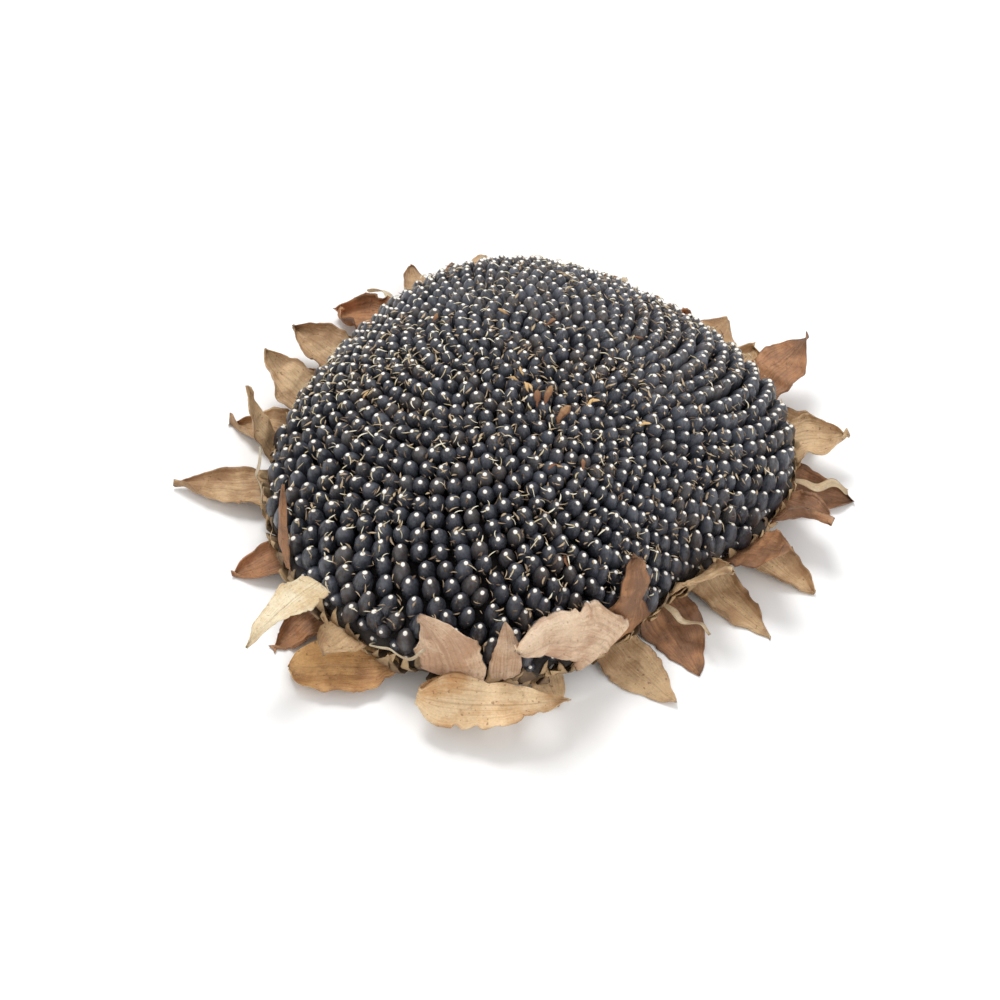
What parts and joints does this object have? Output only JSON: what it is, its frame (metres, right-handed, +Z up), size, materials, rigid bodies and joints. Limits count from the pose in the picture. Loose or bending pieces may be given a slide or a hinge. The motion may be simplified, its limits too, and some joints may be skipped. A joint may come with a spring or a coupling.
{
  "type": "sunflower seed head",
  "caption": "Dried sunflower seed head on its back: a domed face of packed black seeds, a dry receptacle with a short cut stem, and curled papery bracts round the rim.",
  "frame": {"origin": "on the surface that the head lies on, under the middle of its bounding box", "axes": "+Z up out of the seed face, -Y towards the front, +X to the right"},
  "size_m": [0.2156, 0.2046, 0.053],
  "materials": {
    "seeds": "glossy black husk",
    "receptacle": "dry, spongy and wrinkled",
    "stem_stub": "dry and ribbed",
    "bract_tan": "dry leaf",
    "bract_cream": "dry leaf, bleached",
    "bract_brown": "dry leaf, browned",
    "petal": "shrivelled"
  },
  "bodies": {
    "root": {"seeds": "seeds", "receptacle": "receptacle", "stem_stub": "stem_stub", "upright_bract_01": "bract_brown", "spread_bract_01": "bract_brown", "upright_bract_02": "bract_tan", "spread_bract_02": "bract_tan", "upright_bract_03": "bract_brown", "spread_bract_03": "bract_tan", "upright_bract_04": "bract_tan", "spread_bract_04": "bract_brown", "upright_bract_05": "bract_brown", "spread_bract_05": "bract_tan", "upright_bract_06": "bract_tan", "spread_bract_06": "bract_tan", "upright_bract_07": "bract_tan", "spread_bract_07": "bract_brown", "upright_bract_08": "bract_tan", "spread_bract_08": "bract_tan", "upright_bract_09": "bract_brown", "spread_bract_09": "bract_tan", "upright_bract_10": "bract_tan", "spread_bract_10": "bract_brown", "upright_bract_11": "bract_tan", "spread_bract_11": "bract_tan", "upright_bract_12": "bract_tan", "spread_bract_12": "bract_tan", "upright_bract_13": "bract_brown", "spread_bract_13": "bract_brown", "upright_bract_14": "bract_cream", "spread_bract_14": "bract_brown", "upright_bract_15": "bract_tan", "spread_bract_15": "bract_tan", "upright_bract_16": "bract_tan", "spread_bract_16": "bract_cream", "upright_bract_17": "bract_brown", "spread_bract_17": "bract_tan", "upright_bract_18": "bract_tan", "spread_bract_18": "bract_tan", "upright_bract_19": "bract_brown", "spread_bract_19": "bract_brown", "upright_bract_20": "bract_tan", "spread_bract_20": "bract_tan", "upright_bract_21": "bract_brown", "spread_bract_21": "bract_tan", "petal_01": "petal", "petal_02": "petal", "petal_03": "petal", "petal_04": "petal", "petal_05": "petal", "petal_06": "petal"}
  },
  "joints": []
}
